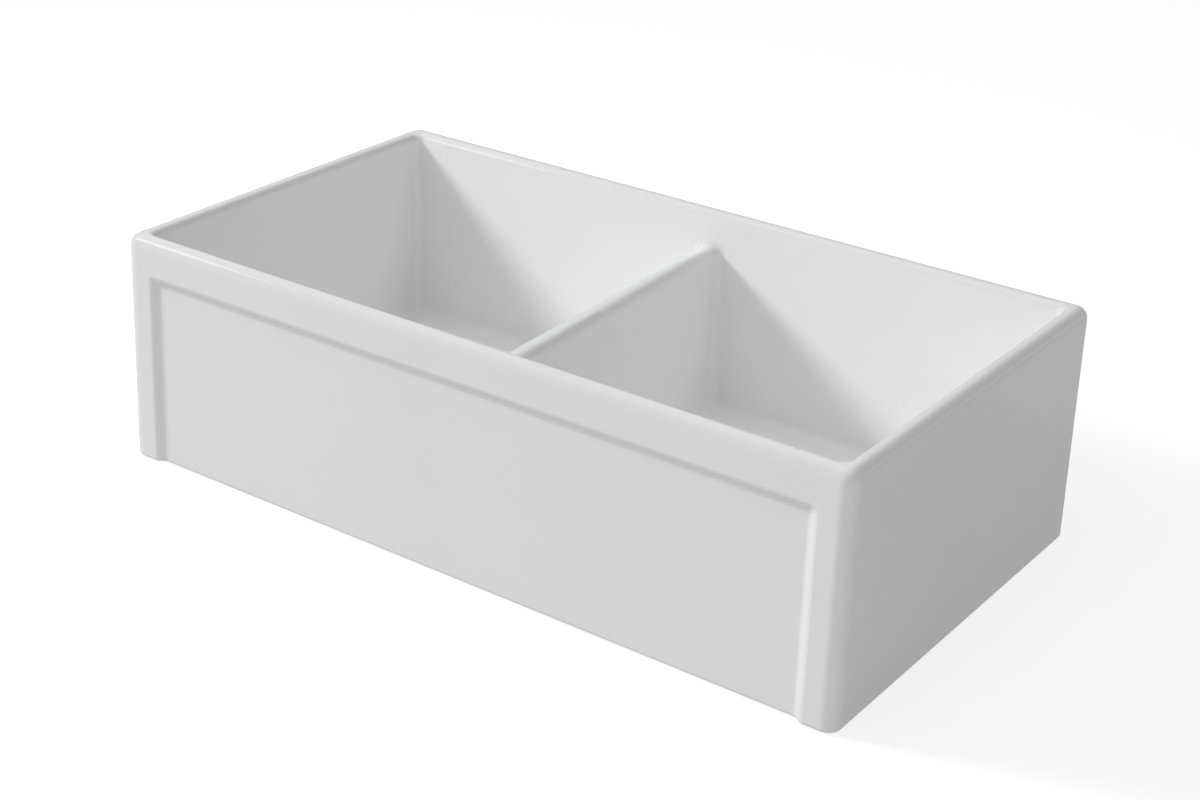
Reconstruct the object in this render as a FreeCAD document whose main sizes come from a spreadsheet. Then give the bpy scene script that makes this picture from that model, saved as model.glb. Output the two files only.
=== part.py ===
import FreeCAD, Part
import math
import os
import Sketcher

# Double-bowl farmhouse sink with a panelled apron, and the two basket-strainer
# wastes that drain it.  Millimetres, +Z up, front (apron) towards -Y.
# The origin is the centre of the base face, which rests on the cabinet.

os.makedirs("parts", exist_ok=True)
doc = FreeCAD.newDocument("farmhouse_sink")
sheet = doc.addObject("Spreadsheet::Sheet", "Sizes")


class Size:
    """A length with its number and the sheet formula that it comes from."""

    def __init__(self, text, value):
        self.text = text
        self.value = value

    def join(self, other, sign, value):
        return Size("(%s %s %s)" % (self.text, sign, text_of(other)), value)

    def __add__(self, other):
        return self.join(other, "+", self.value + value_of(other))

    def __sub__(self, other):
        return self.join(other, "-", self.value - value_of(other))

    def __mul__(self, other):
        return self.join(other, "*", self.value * value_of(other))

    def __truediv__(self, other):
        return self.join(other, "/", self.value / value_of(other))


def value_of(size):
    return size.value if isinstance(size, Size) else float(size)


def text_of(size):
    return size.text if isinstance(size, Size) else "%.9f" % size


rows = []


def driving(alias, value):
    """One driving dimension: a named cell of the sheet."""
    rows.append(alias)
    cell = "B%d" % len(rows)
    sheet.set("A%d" % len(rows), alias)
    sheet.set(cell, str(value))
    sheet.setAlias(cell, alias)
    return Size("Sizes." + alias, float(value))


# ---------------------------------------------------------------- sizes
# The fireclay casting
sink_width = 850
sink_depth = 470
sink_height = 250
front_wall = 20
back_wall = 22
side_wall = 20
floor_thickness = 27
corner_radius = 14
inner_radius = 9
rim_outer_radius = 11.5
rim_inner_radius = 7.5
foot_edge_radius = 4

# The low divider between the bowls: it thickens downwards and falls to the front
divider_base_thickness = 34
divider_draft = 0.027
divider_drop_back = 37
divider_drop_front = 50
divider_edge_radius = 11

# The sunk panel of the apron, open at the bottom
stile_width = 33.5
rail_height = 39.5
panel_sink = 5.8
panel_cove = 8
panel_corner_radius = 9
panel_outer_radius = 7.5
panel_inner_radius = 7.5

# Floor fall, drain hole and its seat, and the hollowed underside
fall_radius = 172
floor_fall = 5
drain_hole_radius = 45
seat_radius = 58
seat_depth = 3
foot_width = 36
web_width = 70
underside_hollow = 5
underside_radius = 20

# Strainer body: flange, threaded cup, throat and threaded spigot
seal_thickness = 1.5
seal_land = 9
flange_radius = 56
flange_thickness = 1.2
cup_thread_radius = 43
cup_thread_end = 34
mouth_radius = 41
ledge_depth = 8.7
ledge_width = 3.5
cup_depth = 47
cup_wall = 2.5
cup_foot_chamfer = 6
throat_radius = 19.5
seat_cone_height = 1.2
seat_cone_width = 6.5
spigot_radius = 23.75
spigot_length = 18

# What clamps the strainer from below
hole_gasket_thickness = 3
clamp_ring_radius = 55
slip_ring_thickness = 1
locknut_radius = 50
locknut_height = 12
locknut_plate = 3
lug_radius = 55
lug_width = 12
thread_clearance = 0.15
ring_clearance = 1

# Tailpiece and the nut that holds it to the spigot
tail_radius = 19.05
tail_wall = 0.95
tail_length = 70
tail_neck_length = 4.5
tail_neck_relief = 0.2
tail_flange_thickness = 1.5
tail_washer_thickness = 2
coupling_wall = 4.5
coupling_grip = 12
coupling_lip = 3
coupling_clearance = 0.3

# Basket
body_gap = 0.3
rim_bead_height = 2.4
basket_wall = 1
basket_taper = 5.5
basket_depth = 24.3
basket_foot_chamfer = 3
slot_width = 4
slot_height = 13
slot_rise = 5
floor_slot_width = 3
floor_slot_start = 12
floor_slot_length = 12

# Stopper: post in a guide bush, knob on top, rubber disc below
post_radius = 3
post_clearance = 0.06
fit_gap = 0.05
bush_wall = 2
bush_flange_width = 3
bush_flange_thickness = 1.2
stopper_radius = 25
stopper_thickness = 4
stopper_washer_radius = 17
stopper_washer_thickness = 1
stud_radius = 2.4
stopper_nut_radius = 4.6
stopper_nut_height = 3.5
stud_end = 1
knob_radius = 9.5
knob_height = 8
knob_shoulder = 4.4
knob_neck_radius = 5.5
knob_socket = 5
knob_rise = 8

# Each length above goes into the sheet, and its name stands for that cell from here on
for name, length in list(globals().items()):
    if isinstance(length, (int, float)) and not name.startswith("_"):
        globals()[name] = driving(name, length)
doc.recompute()

# Numbers of like parts
lug_count = 6
coupling_sides = 8
stopper_nut_sides = 6
slot_pairs = 6
floor_slots = 10

# Places that follow from them
left_edge = sink_width / -2
right_edge = sink_width / 2
front_edge = sink_depth / -2
back_edge = sink_depth / 2
basin_front = front_edge + front_wall
basin_back = back_edge - back_wall
basin_side = right_edge - side_wall
floor_level = floor_thickness
bowl_depth = sink_height - floor_thickness
seat_level = floor_level - floor_fall - seat_depth
bowl_centre_x = (basin_side + divider_base_thickness / 2) / 2
bowl_centre_y = (basin_front + basin_back) / 2


# ---------------------------------------------------------------- helpers
def bind(item, prop, size):
    """Ties one property of an object to the sheet."""
    item.setExpression(prop, text_of(size))


def new_body(name):
    body = doc.addObject("PartDesign::Body", name)
    body.Label = name
    return body


def sketch_on(body, name, role, offset=(0, 0, 0)):
    """An empty sketch on one of the body's own origin planes, moved by offset."""
    sketch = body.newObject("Sketcher::SketchObject", name)
    plane = [item for item in body.Origin.OriginFeatures if item.Role == role][0]
    sketch.AttachmentSupport = [(plane, "")]
    sketch.MapMode = "FlatFace"
    for letter, size in zip("xyz", offset):
        if isinstance(size, Size):
            bind(sketch, "AttachmentOffset.Base." + letter, size)
    return sketch


def fix_point(sketch, edge, vertex, across, up):
    """Holds one sketch point at two distances from the sketch's origin."""
    for kind, size in (("DistanceX", across), ("DistanceY", up)):
        if value_of(size) == 0:
            axis = -2 if kind == "DistanceX" else -1
            sketch.addConstraint(Sketcher.Constraint("PointOnObject", edge, vertex, axis))
            continue
        index = sketch.addConstraint(
            Sketcher.Constraint(kind, -1, 1, edge, vertex, value_of(size)))
        bind(sketch, "Constraints[%d]" % index, size)


def outline(body, name, role, points, offset=(0, 0, 0)):
    """A closed outline of straight lines through the given points."""
    sketch = sketch_on(body, name, role, offset)
    spots = [FreeCAD.Vector(value_of(x), value_of(y), 0) for x, y in points]
    count = len(spots)
    for i in range(count):
        sketch.addGeometry(Part.LineSegment(spots[i], spots[(i + 1) % count]), False)
    for i in range(count):
        sketch.addConstraint(Sketcher.Constraint("Coincident", i, 2, (i + 1) % count, 1))
    for i, (x, y) in enumerate(points):
        fix_point(sketch, i, 1, x, y)
    return sketch


def box_outline(body, name, role, low, high, offset=(0, 0, 0)):
    corners = [low, (high[0], low[1]), high, (low[0], high[1])]
    return outline(body, name, role, corners, offset)


def polygon_corners(sides, radius):
    """Corners of a regular polygon with two sides square to X."""
    angles = [2 * math.pi * (i + 0.5) / sides for i in range(sides)]
    return [(radius * math.cos(angle), radius * math.sin(angle)) for angle in angles]


def ring_outline(body, name, radius, offset=(0, 0, 0)):
    """A circle about the body's vertical axis."""
    sketch = sketch_on(body, name, "XY_Plane", offset)
    circle = Part.Circle(FreeCAD.Vector(0, 0, 0), FreeCAD.Vector(0, 0, 1), value_of(radius))
    sketch.addGeometry(circle, False)
    fix_point(sketch, 0, 3, 0, 0)
    index = sketch.addConstraint(Sketcher.Constraint("Radius", 0, value_of(radius)))
    bind(sketch, "Constraints[%d]" % index, radius)
    return sketch


def feature(body, kind, name, sketch=None):
    made = body.newObject("PartDesign::" + kind, name)
    if sketch is not None:
        made.Profile = sketch
    return made


def pad(body, name, sketch, length):
    made = feature(body, "Pad", name, sketch)
    bind(made, "Length", length)
    return made


def cut_down(body, name, sketch, length):
    """A pocket below its sketch that has to take material away."""
    made = feature(body, "Pocket", name, sketch)
    bind(made, "Length", length)
    must_remove(made)
    return made


def cut_both_ways(body, name, sketch, length):
    made = feature(body, "Pocket", name, sketch)
    bind(made, "Length", length)
    made.Midplane = True
    must_remove(made)
    return made


def cut_up(body, name, sketch, length):
    made = feature(body, "Pocket", name, sketch)
    bind(made, "Length", length)
    made.Reversed = True
    must_remove(made)
    return made


def must_remove(made):
    doc.recompute()
    if made.Shape.Volume >= made.BaseFeature.Shape.Volume - 1e-6:
        raise RuntimeError(made.Name + " removes nothing")


def turned(body, name, points, offset=(0, 0, 0)):
    """A solid of revolution about the vertical axis of its (radius, height) outline."""
    sketch = outline(body, name + "_profile", "XZ_Plane", points, offset)
    made = feature(body, "Revolution", name, sketch)
    made.ReferenceAxis = (sketch, ["V_Axis"])
    made.Angle = 360
    return made


def turned_cut(body, name, points, offset=(0, 0, 0)):
    sketch = outline(body, name + "_profile", "XZ_Plane", points, offset)
    made = feature(body, "Groove", name, sketch)
    made.ReferenceAxis = (sketch, ["V_Axis"])
    made.Angle = 360
    must_remove(made)
    return made


def loft(body, kind, name, first, last):
    made = feature(body, kind, name, first)
    made.Sections = [last]
    made.Ruled = True
    return made


def around(body, name, source, count, angle=360):
    """Repeats a feature about the body's vertical axis."""
    axis = [item for item in body.Origin.OriginFeatures if item.Role == "Z_Axis"][0]
    pattern = body.newObject("PartDesign::PolarPattern", name)
    pattern.Originals = [source]
    pattern.Axis = (axis, [""])
    pattern.Angle = angle
    pattern.Occurrences = count
    body.Tip = pattern
    return pattern


def near(a, b, gap=0.05):
    return abs(value_of(a) - value_of(b)) < gap


def round_edges(body, name, radius, test):
    """A fillet on the edges whose two ends and middle all pass the test."""
    doc.recompute()
    base = body.Tip
    names = []
    for number, edge in enumerate(base.Shape.Edges, 1):
        middle = edge.valueAt((edge.FirstParameter + edge.LastParameter) / 2)
        spots = [vertex.Point for vertex in edge.Vertexes] + [middle]
        if all(test(spot) for spot in spots):
            names.append("Edge%d" % number)
    if not names:
        raise RuntimeError(name + " finds no edge")
    made = body.newObject("PartDesign::Fillet", name)
    made.Base = (base, names)
    bind(made, "Radius", radius)
    body.Tip = made
    doc.recompute()
    return made


# ---------------------------------------------------------------- casting
def make_sink():
    """The one-piece fireclay casting: apron, walls, two bowls and low divider."""
    body = new_body("sink_body")
    block = box_outline(body, "block_outline", "XY_Plane",
                        (left_edge, front_edge), (right_edge, back_edge))
    pad(body, "block", block, sink_height)
    round_edges(body, "upright_corners", corner_radius,
                lambda p: near(abs(p.x), right_edge) and near(abs(p.y), back_edge))

    sink_panel(body)
    hollow_basin(body)
    round_rim(body)
    round_edges(body, "foot_edge", foot_edge_radius, lambda p: near(p.z, 0))
    for side in (-1, 1):
        drain(body, side)
        hollow_underside(body, side)
    return body


def sink_panel(body):
    """The apron's sunk panel: stiles and a top rail stand proud of it."""
    side = right_edge - stile_width
    top = sink_height - rail_height
    below = panel_cove * -1
    front = box_outline(body, "panel_mouth", "XZ_Plane",
                        (side * -1, below), (side, top), (0, 0, front_edge * -1))
    inner_side = side - panel_cove
    inner_top = top - panel_cove
    face = box_outline(body, "panel_face", "XZ_Plane",
                       (inner_side * -1, below), (inner_side, inner_top),
                       (0, 0, front_edge * -1 - panel_sink))
    loft(body, "SubtractiveLoft", "panel", front, face)
    deep = front_edge + panel_sink

    round_edges(body, "panel_corners", panel_corner_radius,
                lambda p: near(side - abs(p.x), top - p.z) and p.z > inner_top.value - 0.05)
    round_edges(body, "panel_outer_edge", panel_outer_radius,
                lambda p: near(p.y, front_edge) and (near(abs(p.x), side) or near(p.z, top)))
    round_edges(body, "panel_inner_edge", panel_inner_radius,
                lambda p: near(p.y, deep) and (near(abs(p.x), inner_side)
                                               or near(p.z, inner_top)))


def hollow_basin(body):
    """One wide basin, the divider across it, and the coves where walls meet."""
    mouth = box_outline(body, "basin_outline", "XY_Plane",
                        (basin_side * -1, basin_front), (basin_side, basin_back),
                        (0, 0, sink_height))
    cut_down(body, "basin", mouth, bowl_depth)

    base_half = divider_base_thickness / 2
    ends = []
    for name, place, drop in (("divider_front", basin_front, divider_drop_front),
                              ("divider_back", basin_back, divider_drop_back)):
        top = sink_height - drop
        top_half = base_half - (top - floor_level) * divider_draft
        ends.append(outline(body, name, "XZ_Plane",
                            [(base_half * -1, floor_level), (base_half, floor_level),
                             (top_half, top), (top_half * -1, top)],
                            (0, 0, place * -1)))
    loft(body, "AdditiveLoft", "divider", ends[0], ends[1])

    def on_crest(p):
        along = (p.y - basin_front.value) / (basin_back - basin_front).value
        drop = divider_drop_front + (divider_drop_back - divider_drop_front) * along
        return near(p.z, sink_height - drop) and abs(p.x) < base_half.value and abs(p.x) > 1

    round_edges(body, "divider_crest", divider_edge_radius, on_crest)

    def at_wall(p):
        return near(p.y, basin_front) or near(p.y, basin_back)

    def in_basin(p):
        inside_x = abs(p.x) <= basin_side.value + 0.05
        inside_y = basin_front.value - 0.05 <= p.y <= basin_back.value + 0.05
        return inside_x and inside_y and p.z >= floor_level.value - 0.05

    def is_cove(p):
        on_floor = near(p.z, floor_level)
        in_corner = near(abs(p.x), basin_side) and at_wall(p)
        by_divider = abs(p.x) <= base_half.value + 0.05 and at_wall(p)
        below_rim = p.z < sink_height.value - 1
        return in_basin(p) and (on_floor or in_corner or by_divider and below_rim)

    round_edges(body, "basin_coves", inner_radius, is_cove)


def round_rim(body):
    """The rim's soft edges, outside and inside."""
    def on_top(p):
        return near(p.z, sink_height)

    def over_basin(p):
        inside_y = basin_front.value - 1 <= p.y <= basin_back.value + 1
        return abs(p.x) <= basin_side.value + 1 and inside_y

    round_edges(body, "rim_outside", rim_outer_radius,
                lambda p: on_top(p) and not over_basin(p))
    round_edges(body, "rim_inside", rim_inner_radius,
                lambda p: on_top(p) and over_basin(p))


def drain(body, side):
    """The floor's fall, the strainer's seat and the hole through the floor."""
    name = "left" if side < 0 else "right"
    drained = floor_level - floor_fall
    points = [(0, sink_height), (fall_radius, sink_height), (fall_radius, floor_level),
              (seat_radius, drained), (seat_radius, seat_level),
              (drain_hole_radius, seat_level), (drain_hole_radius, floor_level * -1),
              (0, floor_level * -1)]
    turned_cut(body, name + "_drain", points, (bowl_centre_x * side, 0, bowl_centre_y * -1))


def hollow_underside(body, side):
    """The shallow hollow under each bowl, inside the foot ring and the centre web."""
    name = "left" if side < 0 else "right"
    near_web = web_width / 2 * side
    near_foot = (right_edge - foot_width) * side
    low_x, high_x = sorted((near_web, near_foot), key=value_of)
    sketch = box_outline(body, name + "_hollow_outline", "XY_Plane",
                         (low_x, front_edge + foot_width), (high_x, back_edge - foot_width))
    cut_up(body, name + "_hollow", sketch, underside_hollow)
    round_edges(body, name + "_hollow_corners", underside_radius,
                lambda p: p.z < underside_hollow.value + 0.05 and p.z > -0.05
                and (near(p.x, near_web) or near(p.x, near_foot))
                and (near(p.y, front_edge + foot_width) or near(p.y, back_edge - foot_width)))


# ---------------------------------------------------------------- wastes
# Heights in a waste are measured from the seat that the flange is bedded on.
flange_top = seal_thickness + flange_thickness
ledge_level = flange_top - ledge_depth
cup_floor = flange_top - cup_depth
cup_radius = mouth_radius - ledge_width
spigot_top = cup_floor - cup_wall
spigot_end = spigot_top - spigot_length
clay_at_drain = seat_level - underside_hollow
gasket_top = clay_at_drain * -1
slip_ring_top = gasket_top - hole_gasket_thickness
locknut_top = slip_ring_top - slip_ring_thickness
tail_washer_top = spigot_end
tail_flange_top = tail_washer_top - tail_washer_thickness
tail_flange_end = tail_flange_top - tail_flange_thickness
rim_level = ledge_level + body_gap
basket_floor = rim_level - basket_depth
stopper_base = cup_floor + body_gap
stopper_top = stopper_base + stopper_thickness
washer_top = stopper_top + stopper_washer_thickness
knob_base = flange_top + knob_rise - knob_height
bush_radius = post_radius + post_clearance + bush_wall


def washer(body, name, inner, outer, low, high):
    turned(body, name, [(inner, low), (outer, low), (outer, high), (inner, high)])


def make_strainer_body(body):
    """Flange, cup with a ledge for the basket, stopper seat and threaded spigot."""
    cup_outer = cup_radius + cup_wall
    turned(body, "strainer", [
        (flange_radius, seal_thickness),
        (flange_radius, flange_top),
        (mouth_radius, flange_top),
        (mouth_radius, ledge_level),
        (cup_radius, ledge_level),
        (cup_radius, cup_floor + cup_foot_chamfer),
        (cup_radius - cup_foot_chamfer, cup_floor),
        (throat_radius + seat_cone_width, cup_floor),
        (throat_radius, cup_floor - seat_cone_height),
        (throat_radius, spigot_end),
        (spigot_radius, spigot_end),
        (spigot_radius, spigot_top),
        (cup_outer - cup_foot_chamfer, spigot_top),
        (cup_outer, spigot_top + cup_foot_chamfer),
        (cup_outer, cup_thread_end * -1),
        (cup_thread_radius, cup_thread_end * -1),
        (cup_thread_radius, seal_thickness)])


def make_flange_seal(body):
    washer(body, "seal", flange_radius - seal_land, flange_radius, 0, seal_thickness)


def make_hole_gasket(body):
    washer(body, "gasket", cup_thread_radius + ring_clearance, clamp_ring_radius,
           slip_ring_top, gasket_top)


def make_slip_ring(body):
    washer(body, "ring", cup_thread_radius + ring_clearance, clamp_ring_radius,
           locknut_top, slip_ring_top)


def make_locknut(body):
    """A threaded ring with a wide plate on top and lugs to turn it by."""
    bottom = locknut_top - locknut_height
    plate_end = locknut_top - locknut_plate
    bore = cup_thread_radius + thread_clearance
    lug = box_outline(body, "lug_outline", "XY_Plane",
                      (bore + thread_clearance, lug_width / -2), (lug_radius, lug_width / 2),
                      (0, 0, bottom))
    turned(body, "nut", [(bore, bottom), (locknut_radius, bottom),
                         (locknut_radius, plate_end), (clamp_ring_radius, plate_end),
                         (clamp_ring_radius, locknut_top), (bore, locknut_top)])
    one_lug = pad(body, "lug", lug, locknut_height)
    around(body, "lugs", one_lug, lug_count)


def make_tail_washer(body):
    washer(body, "washer", throat_radius, spigot_radius - coupling_clearance,
           tail_flange_top, tail_washer_top)


def make_tailpiece(body):
    """A thin tube, drawn in under the flange that is trapped against the spigot."""
    bore = tail_radius - tail_wall
    end = tail_flange_end - tail_length
    neck_end = tail_flange_end - tail_neck_length
    neck_radius = tail_radius - tail_neck_relief
    turned(body, "tube", [(bore, end), (tail_radius, end), (tail_radius, neck_end),
                          (neck_radius, neck_end), (neck_radius, tail_flange_end),
                          (spigot_radius - coupling_clearance, tail_flange_end),
                          (spigot_radius - coupling_clearance, tail_flange_top),
                          (bore, tail_flange_top)])


def make_coupling_nut(body):
    """An eight-sided nut whose lip lifts the tailpiece against the spigot."""
    lip_top = tail_flange_end - coupling_clearance
    end = lip_top - coupling_lip
    top = spigot_end + coupling_grip
    bore = spigot_radius + thread_clearance
    across = bore + coupling_wall
    circumradius = across / math.cos(math.pi / coupling_sides)
    corners = polygon_corners(coupling_sides, circumradius)
    sketch = outline(body, "nut_outline", "XY_Plane", corners, (0, 0, end))
    pad(body, "nut", sketch, top - end)
    hole = tail_radius + coupling_clearance
    turned_cut(body, "nut_bore", [(0, end - 1), (hole, end - 1), (hole, lip_top),
                                  (bore, lip_top), (bore, top + 1), (0, top + 1)])


def make_basket(body):
    """The lift-out strainer cup, slotted round its wall and in its floor."""
    rim_radius = mouth_radius - body_gap
    wall_top = cup_radius - body_gap
    wall_end = wall_top - basket_taper
    floor_top = basket_floor + basket_wall
    hole = bush_radius + fit_gap
    turned(body, "shell", [
        (hole, basket_floor),
        (wall_end - basket_foot_chamfer, basket_floor),
        (wall_end, basket_floor + basket_foot_chamfer),
        (wall_top, rim_level),
        (rim_radius, rim_level),
        (rim_radius, rim_level + rim_bead_height),
        (wall_top - basket_wall, rim_level + rim_bead_height),
        (wall_top - basket_wall, rim_level),
        (wall_end - basket_wall, floor_top + basket_foot_chamfer),
        (wall_end - basket_foot_chamfer - basket_wall, floor_top),
        (hole, floor_top)])
    low = basket_floor + slot_rise
    slot = box_outline(body, "slot_outline", "XZ_Plane",
                       (slot_width / -2, low), (slot_width / 2, low + slot_height))
    slots = cut_both_ways(body, "slot_pair", slot, rim_radius * 2)
    around(body, "slots", slots, slot_pairs, 180 - 180 / slot_pairs)
    spoke = box_outline(body, "spoke_outline", "XY_Plane",
                        (floor_slot_start, floor_slot_width / -2),
                        (floor_slot_start + floor_slot_length, floor_slot_width / 2),
                        (0, 0, floor_top))
    one_spoke = cut_down(body, "floor_slot", spoke, basket_wall * 2)
    around(body, "floor_slots", one_spoke, floor_slots)


def make_guide_bush(body):
    """A flanged nylon bush, snapped into the basket's floor, that guides the post."""
    bore = post_radius + post_clearance
    flange = bush_radius + bush_flange_width
    floor_top = basket_floor + basket_wall
    turned(body, "bush", [
        (bore, basket_floor - bush_flange_thickness),
        (flange, basket_floor - bush_flange_thickness),
        (flange, basket_floor),
        (bush_radius, basket_floor),
        (bush_radius, floor_top),
        (flange, floor_top),
        (flange, floor_top + bush_flange_thickness),
        (bore, floor_top + bush_flange_thickness)])


def make_stopper_post(body):
    """A plain rod with a thinner threaded stud below its shoulder."""
    end = stopper_base - stopper_nut_height - stud_end
    turned(body, "post", [
        (0, end), (stud_radius, end), (stud_radius, washer_top), (post_radius, washer_top),
        (post_radius, knob_base + knob_socket), (0, knob_base + knob_socket)])


def make_stopper_washer(body):
    washer(body, "disc", stud_radius + fit_gap, stopper_washer_radius, stopper_top, washer_top)


def make_stopper_seal(body):
    """The rubber disc that closes the throat, chamfered to its cone."""
    bore = stud_radius + fit_gap
    half = stopper_base + stopper_thickness / 2
    turned(body, "disc", [
        (bore, stopper_base), (throat_radius + seat_cone_height, stopper_base),
        (stopper_radius, half), (stopper_radius, stopper_top), (bore, stopper_top)])


def make_stopper_nut(body):
    low = stopper_base - stopper_nut_height
    corners = polygon_corners(stopper_nut_sides, stopper_nut_radius)
    sketch = outline(body, "nut_outline", "XY_Plane", corners, (0, 0, low))
    pad(body, "nut", sketch, stopper_nut_height)
    bore = ring_outline(body, "nut_bore_outline", stud_radius + fit_gap, (0, 0, stopper_base))
    cut_down(body, "nut_bore", bore, stopper_nut_height)


def make_stopper_knob(body):
    """A mushroom knob on the end of the post."""
    socket_radius = post_radius + fit_gap
    socket_end = knob_base + knob_socket
    top = knob_base + knob_height
    turned(body, "knob", [
        (socket_radius, knob_base), (knob_neck_radius, knob_base),
        (knob_radius, knob_base + knob_shoulder), (knob_radius, top), (0, top),
        (0, socket_end), (socket_radius, socket_end)])


WASTE_PIECES = {
    "strainer_body": make_strainer_body,
    "flange_seal": make_flange_seal,
    "hole_gasket": make_hole_gasket,
    "slip_ring": make_slip_ring,
    "locknut": make_locknut,
    "tail_washer": make_tail_washer,
    "tailpiece": make_tailpiece,
    "coupling_nut": make_coupling_nut,
    "basket": make_basket,
    "guide_bush": make_guide_bush,
    "stopper_post": make_stopper_post,
    "stopper_washer": make_stopper_washer,
    "stopper_seal": make_stopper_seal,
    "stopper_nut": make_stopper_nut,
    "stopper_knob": make_stopper_knob,
}


def make_waste(side):
    """Every piece of one waste, placed at its drain."""
    name = "left" if side < 0 else "right"
    made = []
    for piece, build in WASTE_PIECES.items():
        body = new_body(name + "_" + piece)
        build(body)
        bind(body, "Placement.Base.x", bowl_centre_x * side)
        bind(body, "Placement.Base.y", bowl_centre_y)
        bind(body, "Placement.Base.z", seat_level)
        made.append(body)
    return made


# ---------------------------------------------------------------- build
pieces = [make_sink()] + make_waste(-1) + make_waste(1)
doc.recompute()

for item in doc.Objects:
    if "Invalid" in item.State or "Error" in item.State:
        raise RuntimeError("%s did not build: %s" % (item.Name, item.State))
for piece in pieces:
    if piece.Shape.isNull() or not piece.Shape.isValid() or len(piece.Shape.Solids) != 1:
        raise RuntimeError(piece.Label + " is not one sound solid")

for piece in pieces:
    piece.Shape.exportStep("parts/%s.step" % piece.Label)
    print("%-24s volume %10.0f mm3" % (piece.Label, piece.Shape.Volume))
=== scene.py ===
import math

import bmesh
import bpy
from mathutils import Matrix, Vector


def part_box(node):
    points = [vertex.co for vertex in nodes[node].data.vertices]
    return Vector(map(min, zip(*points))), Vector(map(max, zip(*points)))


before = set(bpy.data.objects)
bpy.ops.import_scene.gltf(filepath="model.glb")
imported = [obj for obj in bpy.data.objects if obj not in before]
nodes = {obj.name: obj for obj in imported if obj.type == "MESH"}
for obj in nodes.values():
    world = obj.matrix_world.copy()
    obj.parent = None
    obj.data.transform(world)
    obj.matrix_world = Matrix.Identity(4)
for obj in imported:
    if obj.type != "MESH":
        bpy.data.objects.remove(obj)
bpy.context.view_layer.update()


# ------------------------------------------------------------ the casting
# The sink is one slip-cast fireclay piece under a thick white glaze with a faint swell, a few iron
# specks and slow changes of tone. Its rounded upper edges get painted shade, a darker grey that
# stands in for light they should not catch. The ring that the casting stood on in the kiln, and the
# hollows inside it, have no glaze.
class Paint:
    """One output of a shader node; sums on it add Math nodes."""

    def __init__(self, finish, socket):
        self.finish = finish
        self.socket = socket

    def math(self, operation, *values):
        return self.finish.node("ShaderNodeMath", {"operation": operation},
                                dict(enumerate(values)))

    def __add__(self, other):
        return self.math("ADD", self, other)

    def __sub__(self, other):
        return self.math("SUBTRACT", self, other)

    def __mul__(self, other):
        return self.math("MULTIPLY", self, other)

    def __pow__(self, other):
        return self.math("POWER", self, other)

    def __radd__(self, other):
        return self.math("ADD", other, self)

    def __rsub__(self, other):
        return self.math("SUBTRACT", other, self)

    def __rmul__(self, other):
        return self.math("MULTIPLY", other, self)

    def at_least(self, least):
        """This value, or the other one where that is greater."""
        return self.math("MAXIMUM", self, least)

    def ramp(self, low, high, start=0.0, end=1.0):
        """Goes smoothly from start to end while this value goes from low to high."""
        return self.finish.node("ShaderNodeMapRange", {"interpolation_type": "SMOOTHSTEP"},
                                {"Value": self, "From Min": low, "From Max": high,
                                 "To Min": start, "To Max": end})


class Finish:
    """The nodes of a material, of a lamp or of the world, made one by one."""

    def __init__(self, owner):
        owner.use_nodes = True
        self.owner = owner
        self.tree = owner.node_tree
        self.tree.nodes.clear()

    def node(self, kind, settings=None, inputs=None, output=0):
        made = self.tree.nodes.new(kind)
        for key, value in (settings or {}).items():
            setattr(made, key, value)
        for key, value in (inputs or {}).items():
            if isinstance(value, Paint):
                self.tree.links.new(value.socket, made.inputs[key])
            else:
                made.inputs[key].default_value = value
        return Paint(self, made.outputs[output]) if made.outputs else None

    def place(self):
        """Where a point of the object is, in metres."""
        return self.node("ShaderNodeTexCoord", output="Object")

    def noise(self, size, detail=2.0, roughness=0.5, place=None):
        """Soft random values, with lumps of about the given size in metres."""
        return self.node("ShaderNodeTexNoise", {"noise_dimensions": "3D"},
                         {"Vector": place or self.place(), "Scale": 1 / size,
                          "Detail": detail, "Roughness": roughness})

    def blend(self, amount, first, second):
        """A colour between two colours."""
        return self.node("ShaderNodeMix", {"data_type": "RGBA"},
                         {0: amount, 6: first, 7: second}, output=2)

    def raised(self, height, depth, below=None):
        """Turns a height of 0 to 1 into relief of the given depth in metres."""
        inputs = {"Height": height, "Distance": depth, "Strength": 1.0}
        if below is not None:
            inputs["Normal"] = below
        return self.node("ShaderNodeBump", {}, inputs)

    def surface(self, **sockets):
        """The finished material, with the given sockets of its shader."""
        shader = self.node("ShaderNodeBsdfPrincipled", {},
                           {key.replace("_", " "): value for key, value in sockets.items()})
        self.node("ShaderNodeOutputMaterial", {}, {"Surface": shader})
        return self.owner


def grey(level, warmth=0.0):
    return (level * (1 + warmth), level, level * (1 - warmth), 1.0)


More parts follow.
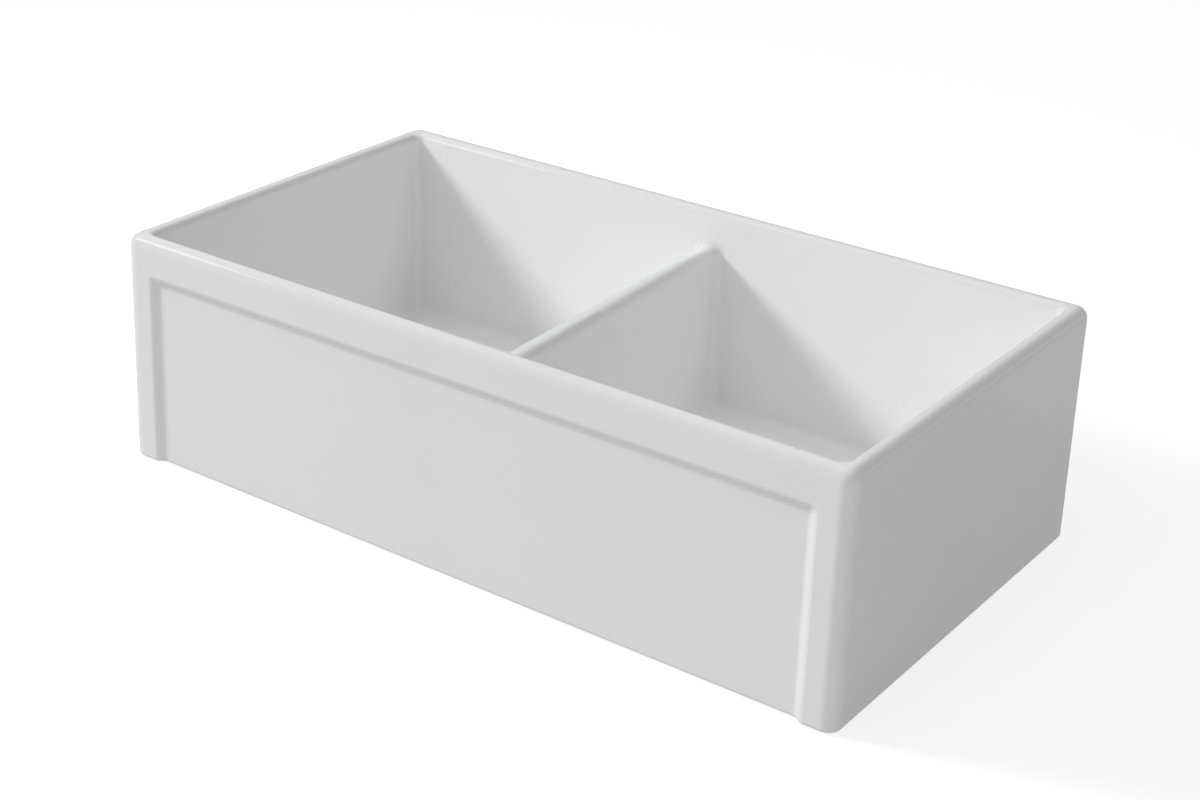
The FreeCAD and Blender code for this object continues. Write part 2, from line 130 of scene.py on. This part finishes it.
def fireclay():
    glaze_low, glaze_high = grey(0.91), grey(0.925)
    # The darker grey and its share below are painted shade for the rounded upper edges.
    edge_shade_grey, edge_shade_share = grey(0.75), 0.85
    upper_edges = (0.185, 0.195)
    speck_colour, speck_share = grey(0.25, 0.15), 0.5
    speck_spacing, speck_core, speck_rim = 0.03, 0.012, 0.02
    clay_low, clay_high = grey(0.62, 0.06), grey(0.74, 0.05)
    clay_roughness = 0.85
    clay_slant = (0.75, 0.95)
    clay_top = (0.006, 0.008)

    finish = Finish(bpy.data.materials.new("glazed_fireclay"))
    normal = finish.node("ShaderNodeNewGeometry", output="Normal")
    height = finish.node("ShaderNodeSeparateXYZ", {}, {"Vector": finish.place()}, output="Z")
    down = finish.node("ShaderNodeSeparateXYZ", {}, {"Vector": normal}, output="Z") * -1.0
    bare = down.ramp(*clay_slant) * height.ramp(*clay_top, 1.0, 0.0)
    # Painted shade mask: rounded faces tilted halfway up, near the height of the rim and divider
    # crests.
    edge = (1.0 - down * down) ** 0.5 * (down * -2.0).at_least(0.0)
    painted_edge_shade = edge * height.ramp(*upper_edges)

    tone = finish.noise(size=0.16, detail=3.0)
    glaze = finish.blend(tone.ramp(0.3, 0.7), glaze_low, glaze_high)
    cells = finish.node("ShaderNodeTexVoronoi", {"feature": "F1"},
                        {"Vector": finish.place(), "Scale": 1 / speck_spacing})
    rare = finish.noise(size=0.07, detail=0.0).ramp(0.62, 0.66)
    speck = cells.ramp(speck_core, speck_rim, 1.0, 0.0) * rare
    # Painted shade: the rounded upper edges are blended towards the darker grey, so that they look
    # less lit.
    glaze = finish.blend(painted_edge_shade * edge_shade_share, glaze, edge_shade_grey)
    glaze = finish.blend(speck * speck_share, glaze, speck_colour)

    grain = finish.noise(size=0.0012, detail=4.0, roughness=0.7)
    clay = finish.blend(grain, clay_low, clay_high)

    swell = finish.raised(finish.noise(size=0.09, detail=1.0), depth=0.0006)
    peel = finish.raised(finish.noise(size=0.006, detail=1.0), depth=0.000012, below=swell)
    rough = finish.raised(grain * bare, depth=0.0002, below=peel)
    gloss = finish.noise(size=0.05, detail=2.0).ramp(0.3, 0.7, start=0.10, end=0.16)
    return finish.surface(
        Base_Color=finish.blend(bare, glaze, clay),
        Roughness=gloss * (1 - bare) + bare * clay_roughness,
        Normal=rough, IOR=1.5)


def dress(node, material):
    """Gives a CAD node its material."""
    node.data.materials.clear()
    node.data.materials.append(material)


dress(nodes["sink_body"], fireclay())


# ------------------------------------------------------------ stainless steel
# Strainer body and basket are drawn from stainless sheet and brushed on a lathe, so the fine
# lines run round the drain's axis. The stopper's post, washer and nut have the same finish.
def drain_axis(side):
    low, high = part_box(side + "_strainer_body")
    return (Vector(low) + Vector(high)) / 2


def from_axis(finish, side):
    """Distance from the drain's axis and height, as numbers for a finish."""
    centre = drain_axis(side)
    moved = finish.node("ShaderNodeVectorMath", {"operation": "SUBTRACT"},
                        {0: finish.place(), 1: (centre.x, centre.y, 0)})
    x = finish.node("ShaderNodeSeparateXYZ", {}, {"Vector": moved}, output="X")
    y = finish.node("ShaderNodeSeparateXYZ", {}, {"Vector": moved}, output="Y")
    z = finish.node("ShaderNodeSeparateXYZ", {}, {"Vector": moved}, output="Z")
    return (x * x + y * y) ** 0.5, z


def brushed_steel(side):
    finish = Finish(bpy.data.materials.new(side + "_brushed_stainless"))
    radius, height = from_axis(finish, side)
    along = finish.node("ShaderNodeCombineXYZ", {}, {"X": radius, "Y": height})
    lines = finish.noise(size=0.0003, detail=3.0, roughness=0.7, place=along)
    wear = finish.noise(size=0.012, detail=3.0)
    return finish.surface(
        Base_Color=finish.blend(wear, grey(0.56, 0.01), grey(0.66, 0.005)), Metallic=1.0,
        Roughness=lines.ramp(0.2, 0.8, start=0.20, end=0.36),
        Normal=finish.raised(lines, depth=0.00001))


# ------------------------------------------------------------ plated and cast metal
# Knob, tailpiece and coupling nut are plated and polished bright. The locknut is a zinc casting
# that stays matt and finely pitted, as it comes from the die.
def polished_plating():
    finish = Finish(bpy.data.materials.new("polished_plating"))
    smear = finish.noise(size=0.015, detail=4.0, roughness=0.6)
    return finish.surface(
        Base_Color=finish.blend(smear, grey(0.72, -0.01), grey(0.80, -0.005)), Metallic=1.0,
        Roughness=smear.ramp(0.35, 0.75, start=0.05, end=0.16),
        Normal=finish.raised(finish.noise(size=0.004, detail=2.0), depth=0.00001))


def cast_zinc():
    finish = Finish(bpy.data.materials.new("cast_zinc"))
    pits = finish.noise(size=0.0009, detail=3.0, roughness=0.6)
    cloud = finish.noise(size=0.01, detail=3.0)
    return finish.surface(
        Base_Color=finish.blend(cloud, grey(0.42, -0.01), grey(0.54, -0.01)), Metallic=1.0,
        Roughness=cloud.ramp(0.3, 0.7, start=0.42, end=0.58),
        Normal=finish.raised(pits, depth=0.00006))


# ------------------------------------------------------------ rings, washers and bushes
# Seals and gaskets are moulded black rubber. The slip ring under the locknut is punched from
# pressed fibre, and the tail washer and the basket's bush are moulded in natural nylon.
def black_rubber():
    finish = Finish(bpy.data.materials.new("black_rubber"))
    bloom = finish.noise(size=0.008, detail=4.0, roughness=0.6)
    grain = finish.noise(size=0.0006, detail=2.0)
    return finish.surface(
        Base_Color=finish.blend(bloom.ramp(0.45, 0.8), grey(0.025), grey(0.06)),
        Roughness=bloom.ramp(0.3, 0.7, start=0.55, end=0.75),
        Normal=finish.raised(grain, depth=0.00003))


def pressed_fibre():
    finish = Finish(bpy.data.materials.new("pressed_fibre"))
    stretched = finish.node("ShaderNodeMapping", {}, {"Vector": finish.place(),
                                                      "Scale": (1.0, 0.25, 1.0)})
    strands = finish.noise(size=0.0012, detail=5.0, roughness=0.7, place=stretched)
    return finish.surface(
        Base_Color=finish.blend(strands, (0.20, 0.12, 0.06, 1), (0.45, 0.31, 0.18, 1)),
        Roughness=0.85, Normal=finish.raised(strands, depth=0.0001))


def nylon():
    finish = Finish(bpy.data.materials.new("natural_nylon"))
    cloud = finish.noise(size=0.006, detail=3.0)
    return finish.surface(
        Base_Color=finish.blend(cloud, (0.72, 0.71, 0.66, 1), (0.80, 0.79, 0.75, 1)),
        Roughness=cloud.ramp(0.3, 0.7, start=0.35, end=0.5), Subsurface_Weight=0.1,
        Subsurface_Radius=(0.002, 0.002, 0.002),
        Normal=finish.raised(finish.noise(size=0.002, detail=2.0), depth=0.00002))


# ------------------------------------------------------------ the two wastes
# Each bowl has one waste of the same fifteen pieces, clamped through the floor of the bowl by the
# locknut. The steel is dressed once for each side, because its lines run round that side's drain.
plating, zinc, rubber, fibre, plastic = (
    polished_plating(), cast_zinc(), black_rubber(), pressed_fibre(), nylon())
for side in ("left", "right"):
    steel = brushed_steel(side)
    for piece, material in {
            "strainer_body": steel, "basket": steel, "stopper_post": steel,
            "stopper_washer": steel, "stopper_nut": steel, "stopper_knob": plating,
            "tailpiece": plating, "coupling_nut": plating, "locknut": zinc,
            "flange_seal": rubber, "hole_gasket": rubber, "stopper_seal": rubber,
            "slip_ring": fibre, "tail_washer": plastic, "guide_bush": plastic}.items():
        dress(nodes["%s_%s" % (side, piece)], material)


# ------------------------------------------------------------ the studio
# The sink stands on a white sweep with its own footprint cut out of it, so that the wastes hang
# below the floor and the underside can be seen. A soft lamp hangs to the left, over the front. A
# smaller, nearer lamp and a bright strip on the right show only as reflections.
floor_reach = 9.0
floor_drop = 0.0003
footprint_inset = 0.012
floor_colour = grey(0.35)
glow_on_sink = 0.24
glow_in_picture = 0.72

low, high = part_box("sink_body")
footprint = [(x, y) for x, y in ((low[0] + footprint_inset, low[1] + footprint_inset),
                                 (high[0] - footprint_inset, low[1] + footprint_inset),
                                 (high[0] - footprint_inset, high[1] - footprint_inset),
                                 (low[0] + footprint_inset, high[1] - footprint_inset))]
reach = [(-floor_reach, -floor_reach), (floor_reach, -floor_reach),
         (floor_reach, floor_reach), (-floor_reach, floor_reach)]
shape = bmesh.new()
inner = [shape.verts.new((x, y, -floor_drop)) for x, y in footprint]
outer = [shape.verts.new((x, y, -floor_drop)) for x, y in reach]
for i in range(4):
    j = (i + 1) % 4
    shape.faces.new((outer[i], outer[j], inner[j], inner[i]))
shape.normal_update()
floor_mesh = bpy.data.meshes.new("floor")
shape.to_mesh(floor_mesh)
shape.free()
floor = bpy.data.objects.new("floor", floor_mesh)
bpy.context.collection.objects.link(floor)

sweep = Finish(bpy.data.materials.new("white_sweep"))
seen = sweep.node("ShaderNodeLightPath", output="Is Camera Ray")
through = sweep.node("ShaderNodeLightPath", output="Is Transmission Ray")
shown = seen.at_least(through)
under = sweep.node("ShaderNodeNewGeometry", output="Backfacing")
card = sweep.node("ShaderNodeBsdfDiffuse", {}, {"Color": floor_colour})
glow = sweep.node("ShaderNodeEmission", {},
                  {"Color": grey(1.0),
                   "Strength": shown * (glow_in_picture - glow_on_sink) + glow_on_sink})
lit = sweep.node("ShaderNodeAddShader", {}, {0: card, 1: glow})
clear = sweep.node("ShaderNodeBsdfTransparent")
sweep.node("ShaderNodeOutputMaterial", {},
           {"Surface": sweep.node("ShaderNodeMixShader", {}, {0: under, 1: lit, 2: clear})})
floor.data.materials.append(sweep.owner)

room_light = 0.25
front_light = 0.38
overhead_light = 1.0
overhead_focus = 6
strip_side, strip_foot, strip_head = (0.2, 0.5), (0.02, 0.06), (0.13, 0.19)

world = bpy.data.worlds.new("studio")
bpy.context.scene.world = world
sky = Finish(world)
seen = sky.node("ShaderNodeLightPath", output="Is Camera Ray")
mirrored = sky.node("ShaderNodeLightPath", output="Is Glossy Ray")
through = sky.node("ShaderNodeLightPath", output="Is Transmission Ray")
shown = seen.at_least(through)
white = sky.node("ShaderNodeBackground", {}, {"Color": grey(1.0), "Strength": 1.0})
towards = sky.node("ShaderNodeTexCoord", output="Generated")
front = sky.node("ShaderNodeSeparateXYZ", {}, {"Vector": towards}, output="Y") * -1.0
up = sky.node("ShaderNodeSeparateXYZ", {}, {"Vector": towards}, output="Z")
right = sky.node("ShaderNodeSeparateXYZ", {}, {"Vector": towards}, output="X")
strip = (mirrored * right.ramp(*strip_side)
         * up.ramp(*strip_foot) * up.ramp(*strip_head, 1.0, 0.0))
soft = sky.node("ShaderNodeBackground", {},
                {"Color": grey(1.0),
                 "Strength": room_light + front_light * front.at_least(0.0)
                 + overhead_light * up.at_least(0.0) ** overhead_focus + strip})
sky.node("ShaderNodeOutputWorld", {},
         {"Surface": sky.node("ShaderNodeMixShader", {}, {0: shown, 1: soft, 2: white})})

bowl_middle = Vector((0, 0, 0.12))
for name, place, width, power, in_mirrors in (
        ("key", Vector((-1.80, -0.95, 1.45)), 0.45, 5.3, False),
        ("glint", Vector((-1.10, -0.57, 0.94)), 0.28, 0.7, True)):
    light = bpy.data.lights.new(name, "AREA")
    light.energy = power
    light.size = width
    rays = Finish(light)
    even = rays.node("ShaderNodeLightFalloff", {}, {"Strength": 1.0}, output="Constant")
    rays.node("ShaderNodeOutputLight", {},
              {"Surface": rays.node("ShaderNodeEmission", {}, {"Strength": even})})
    lamp = bpy.data.objects.new(name, light)
    lamp.location = place
    lamp.rotation_euler = (place - bowl_middle).to_track_quat("Z", "Y").to_euler()
    lamp.visible_glossy = in_mirrors
    lamp.visible_diffuse = not in_mirrors
    bpy.context.collection.objects.link(lamp)


# ------------------------------------------------------------ the camera
# A long lens from the right, over the front, looking down into the bowls. The lens is shifted, so
# that the sink lies left of and above the middle of the picture.
image_width, image_height = 1200, 800
centre_across, centre_down = 520, 250
camera_place = Vector((1.1666, -1.6985, 1.0693))
aim = Vector((-0.2798, 0.2490, 0.1250))
roll = math.radians(1.43)
film_width = 36
focal_length = 66.65
far_clip = 100

lens = bpy.data.cameras.new("camera")
lens.sensor_width = film_width
lens.lens = focal_length
lens.clip_end = far_clip
lens.shift_x = (image_width / 2 - centre_across) / image_width
lens.shift_y = (centre_down - image_height / 2) / image_width
camera = bpy.data.objects.new("camera", lens)
camera.location = camera_place
facing = (aim - camera_place).to_track_quat("-Z", "Y")
tilt = Matrix.Rotation(roll, 3, "Z").to_quaternion()
camera.rotation_euler = (facing @ tilt).to_euler()
bpy.context.collection.objects.link(camera)
bpy.context.scene.camera = camera
bpy.context.scene.view_settings.view_transform = "Standard"
